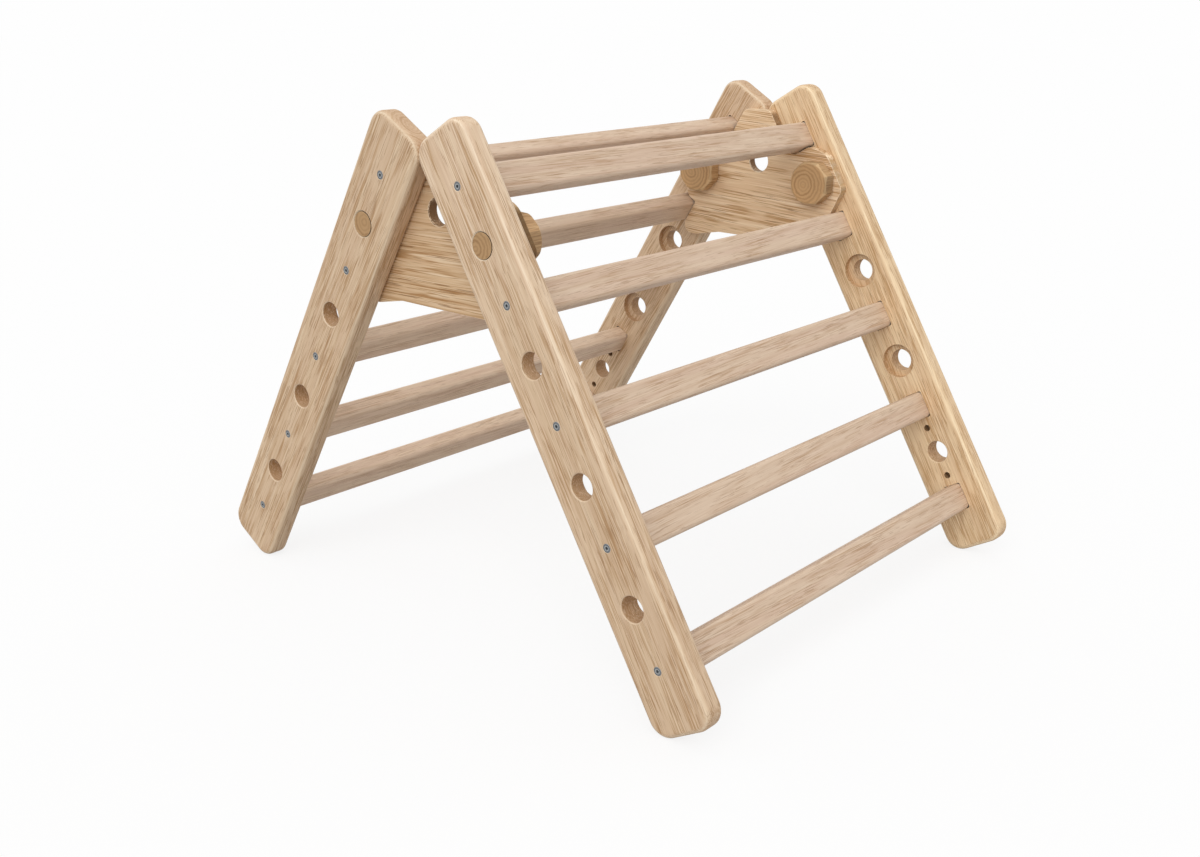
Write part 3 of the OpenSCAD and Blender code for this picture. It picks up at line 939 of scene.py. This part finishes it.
@dataclass
class Pegs:
    """The four pegs: a turned shank and a hand-cut eight-sided head."""

    stance: Stance
    finish: WoodFinish
    shank: float = 0.013
    shank_bevel: float = 0.001
    across_flats: float = 0.051
    turned: float = 0.054
    face: float = 0.0500
    face_cone: float = 0.0036
    head: float = 0.018
    head_gap: float = 0.0003
    back_round: float = 0.003
    face_round: float = 0.0016
    points: int = 160
    sharp: float = 9000.0
    uneven: float = 0.0009
    askew: float = 0.05
    flat_contrast: float = 0.2
    face_tone: float = 1.12
    end_tone: float = 0.9

    def head_outlines(self, seed: int, rims: Array) -> Array:
        """Distance of the head's side from its axis at each angle, for rings turned to several radii.

        Each flat is d / cos(angle from its middle). The radius is the least of the eight flats and the
        turned one, blended softly: -ln(sum of exp(-k d)) / k, with k = sharp. No flat is quite like another.

        Args:
            seed: picks how far each flat is off.
            rims: the turned radius of each ring.

        Returns:
            A row for each ring, with one radius for each point round the head.
        """
        rng = np.random.default_rng(seed)
        off = rng.uniform(-1, 0, 8) * self.uneven
        middle = np.arange(8) * (math.pi / 4) + rng.uniform(-1, 1, 8) * self.askew
        away = (circle(self.points)[:, None] - middle[None, :] + math.pi) % (2 * math.pi) - math.pi
        inside = np.abs(away) < 1.2
        flats = np.where(inside, (self.across_flats / 2 + off) / np.cos(np.where(inside, away, 0.0)), 1.0)
        near = np.exp(-self.sharp * flats).sum(1)[None, :] + np.exp(-self.sharp * rims)[:, None]
        return -np.log(near) / self.sharp

    def build(self, ladder: Ladder, side: Side, seed: int) -> Piece:
        """Stacks the rings of a peg from the outer end of its shank to the face of its head.

        The last rings before the face are turned to a cone, so the face is round and the flats scalloped.

        Args:
            ladder: its ladder.
            side: its side.
            seed: picks how its flats fall.

        Returns:
            The peg.
        """
        seat = self.stance.plate_in - self.head_gap
        turns = np.linspace(0, math.pi / 2, 6)
        inset, drop = 1 - np.sin(turns), 1 - np.cos(turns)
        shank_r = np.append(self.shank - self.shank_bevel * inset, self.shank)
        shank_y = np.append(self.stance.rail_out - self.shank_bevel * drop, seat)
        cone = np.linspace(self.face_cone, self.face_round, 5)[:-1]
        head_inset = np.concatenate([self.back_round * inset, np.zeros(4), self.face_round * inset[::-1]])
        from_face = np.concatenate([self.head - self.back_round * drop, cone, self.face_round * drop[::-1]])
        head_y = seat - self.head + from_face
        rims = (self.face + (self.turned - self.face) * progress(from_face, 0, self.face_cone)) / 2
        radii = np.concatenate([
            np.broadcast_to(shank_r[:, None], (len(shank_r), self.points)),
            self.head_outlines(seed, rims) - head_inset[:, None],
        ])
        rings = turned(radii, side.value * np.concatenate([shank_y, head_y])) + self.stance.peg_axis(ladder)
        return lofted(joined(ladder, side, "peg_turned"), rings[None])

    def grain(self, piece: Piece, ladder: Ladder, seed: int) -> Array:
        """Timber coordinates of a peg, whose pith lies a little off its axis."""
        x, y, z = (coordinates(piece) - self.stance.peg_axis(ladder)).T
        off = np.random.default_rng(seed).uniform(-0.001, 0.001, 2)
        return np.stack([x - off[0], z - off[1], y], -1)

    def tint(self, piece: Piece, ladder: Ladder, seed: int) -> Array:
        """Shades the side of a head flat by flat, as each one cuts the rings at another angle.

        The face is a little paler than the finish, as painted light, and the end of the shank darker, as
        painted shade.

        Args:
            piece: the peg.
            ladder: its ladder.
            seed: picks the tones.

        Returns:
            A factor on the colour for each vertex.
        """
        x, y, z = (coordinates(piece) - self.stance.peg_axis(ladder)).T
        flat = np.round(np.arctan2(z, x) / (math.pi / 4)).astype(int) % 8
        tones = 0.92 + np.random.default_rng(seed).permutation(np.linspace(-1, 1, 8)) * self.flat_contrast
        side = progress(np.hypot(x, z), 0.45 * self.face, 0.49 * self.face)
        # Painted light on the head's face, painted shade on the end of the shank.
        plain = np.where(np.abs(y) > self.stance.plate_in, self.end_tone, self.face_tone)
        return np.tile(plain + side * (tones[flat] - plain), (3, 1)).T

    def recess(self, piece: Piece, ladder: Ladder) -> Array:
        """Painted shade: IN_JOINT on the side of the shank and most of its bevel, IN_SHADE where head and
        plate meet.
        """
        middles, normals = faces(piece)
        x, y, z = (middles - self.stance.peg_axis(ladder)).T
        core = np.hypot(x, z) < 1.01 * self.shank
        side = core & (np.abs(normals[:, 1]) < 0.75)
        seat = ~core & (np.abs(y) > self.stance.plate_in - 0.4 * self.back_round)
        return np.select([side, seat], [IN_JOINT, IN_SHADE], 0.0)

    def make(self) -> None:
        """Builds and dresses all four."""
        wood = self.finish.material()
        for ladder, side in product(Ladder, Side):
            seed = 120 + 3 * ladder.value + side.value
            piece = self.build(ladder, side, seed)
            grain, tint = self.grain(piece, ladder, seed), self.tint(piece, ladder, seed)
            dressed(piece, grain, ALONG_Y, ALONG_Y, self.recess(piece, ladder), wood, seed, tint)
            name = joined(ladder, side, "peg")
            placed(piece, name, name)


@dataclass
class Screws:
    """The wood screws, five down each rail, with countersunk heads and star recesses."""

    stance: Stance
    finish: ZincFinish
    head: float = 0.0047
    shank: float = 0.0025
    head_height: float = 0.0026
    length: float = 0.060
    tip: float = 0.005
    point: float = 0.0002
    recess: float = 0.0016
    recess_wave: float = 0.0003
    recess_depth: float = 0.0016
    count: int = 5
    points: int = 36

    def build(self, ladder: Ladder, side: Side) -> Piece:
        """Turns the profile of a screw about its axis, once for each rung of the ladder.

        The first two rings are the star recess, of radius r + w cos 6t; the rest are round.

        Args:
            ladder: their ladder.
            side: their side.

        Returns:
            The five screws as one object.
        """
        radius, depth = np.array([
            (self.recess * 0.7, self.recess_depth), (self.recess, 0.0001), (self.head * 0.72, 0.0),
            (self.head * 0.8, 0.00008), (self.head * 0.96, 0.0004), (self.head, 0.0006),
            (self.head * 0.97, 0.0008), (self.shank, self.head_height), (self.shank, self.length - self.tip),
            (self.point, self.length - self.point),
        ]).T
        star = np.zeros((len(radius), 1))
        star[:2] = self.recess_wave
        radii = radius[:, None] + star * np.cos(6 * circle(self.points))
        down = np.arange(self.count)[:, None, None, None] * np.array([0.0, 0.0, self.stance.pitch])
        local = turned(radii, side.value * (self.stance.rail_out - depth)) + down
        made = lofted(joined(ladder, side, "screw_set"), self.stance.to_open(local, ladder))
        carried(made, "from_axis", "POINT", np.tile(radii.ravel(), self.count))
        return made

    def make(self) -> None:
        """Builds and dresses all twenty, five to an object."""
        zinc = self.finish.material()
        for ladder, side in product(Ladder, Side):
            piece = self.build(ladder, side)
            shaded(piece, 32.0, zinc)
            placed(piece, joined(ladder, "frame"), joined(ladder, side, "screws"))


@dataclass
class Studio:
    """White floor and dome, one broad lamp and the camera where the photograph was taken from."""

    azimuth: float = 41.335
    elevation: float = 18.586
    roll: float = 0.251
    focal: float = 1322.6
    image_width: float = 1200.0
    aim: tuple[float, float, float] = (-0.02446, -0.09909, 0.260)
    distance: float = 1.53621
    floor_size: float = 30.0
    floor_colour: Colour = (184, 184, 184)
    paper_colour: Colour = (249, 249, 249)
    paper_white: float = 0.82
    backdrop: Colour = (254, 254, 254)
    dome: float = 0.79
    lamp: float = 1.08
    lamp_turn: Pair = (24.0, 38.0)
    lamp_spread: float = 50.0

    def build_floor(self) -> None:
        """Lays the floor: pale grey as the frame sees it, but to the eye white paper with a soft shadow."""
        half = self.floor_size / 2
        mesh = bpy.data.meshes.new("studio_floor")
        corners = [(-half, -half, 0), (half, -half, 0), (half, half, 0), (-half, half, 0)]
        mesh.from_pydata(corners, [], [(0, 1, 2, 3)])
        paper, t = new_material("studio_paper")
        matt, sheet = (
            t.node("BsdfDiffuse", {"Color": linear(colour)})
            for colour in (self.floor_colour, self.paper_colour)
        )
        white = t.node("Emission", {"Color": WHITE, "Strength": 1.0})
        t.output(t.mixed(t.shown(), matt, t.mixed(self.paper_white, sheet, white)))
        mesh.materials.append(paper)
        linked("studio_floor", mesh)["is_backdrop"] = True

    def build_dome(self) -> None:
        """Lights the frame evenly from all round, with plain white behind it."""
        world = bpy.data.worlds.new("studio_dome")
        world.use_nodes = True
        bpy.context.scene.world = world
        t = Tree(world.node_tree)
        light = t.node("Background", {"Color": WHITE, "Strength": self.dome})
        white = t.node("Background", {"Color": linear(self.backdrop), "Strength": 1.0})
        t.output(t.mixed(t.shown(), light, white), "World")

    def build_lamp(self) -> None:
        """Hangs one broad soft lamp, given by its turn round the frame and its height above the floor."""
        back = direction(*(math.radians(angle) for angle in self.lamp_turn))
        data = bpy.data.lights.new("studio_lamp", "SUN")
        data.energy = self.lamp
        data.angle = math.radians(self.lamp_spread)
        lamp = linked("studio_lamp", data)
        lamp.rotation_euler = back.to_track_quat("Z", "Y").to_euler()
        lamp.location = 3 * back

    def build_camera(self) -> None:
        """Sets the camera: it looks from its azimuth and elevation at a point beside the frame's middle."""
        back = direction(math.radians(self.azimuth), math.radians(self.elevation))
        roll = math.radians(self.roll)
        level = (-back).cross(UP).normalized()
        upright = level.cross(-back)
        right = math.cos(roll) * level + math.sin(roll) * upright
        up = -math.sin(roll) * level + math.cos(roll) * upright
        target = self.aim[2] * UP + self.aim[0] * right + self.aim[1] * up
        data = bpy.data.cameras.new("camera")
        data.sensor_width = 36.0
        data.lens = self.focal / self.image_width * data.sensor_width
        camera = linked("camera", data)
        axes = Matrix((right, up, back)).transposed().to_4x4()
        camera.matrix_world = Matrix.Translation(target + self.distance * back) @ axes
        bpy.context.scene.camera = camera

    def make(self) -> None:
        """Builds the whole studio."""
        self.build_floor()
        self.build_dome()
        self.build_lamp()
        self.build_camera()
        bpy.context.scene.view_settings.view_transform = "Standard"
        log.info("studio: floor, dome, lamp and camera")


def write_sizes() -> None:
    """Logs the CAD box and the box of what is shown, in millimetres."""
    low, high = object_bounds()
    sizes = {
        "cad_low": list(CAD_BOX[0]), "cad_high": list(CAD_BOX[1]),
        "visual_low": list(low), "visual_high": list(high),
    }
    in_mm = (np.round(np.array(box) * 1000, 2).tolist() for box in sizes.values())
    log.info("boxes in mm: CAD %s to %s, visual %s to %s", *in_mm)


def main() -> None:
    """Builds the studio and each sub-assembly in order."""
    logging.basicConfig(level=logging.INFO, format="%(name)s: %(message)s")
    stance = Stance()
    Studio().make()
    for assembly in (
        SideRails(stance, RAIL_WOOD), Rungs(stance, RUNG_WOOD), HingePlates(stance, PLATE_WOOD),
        Pegs(stance, PEG_WOOD), Screws(stance, ZINC),
    ):
        assembly.make()
    write_sizes()


if __name__ == "__main__":
    main()
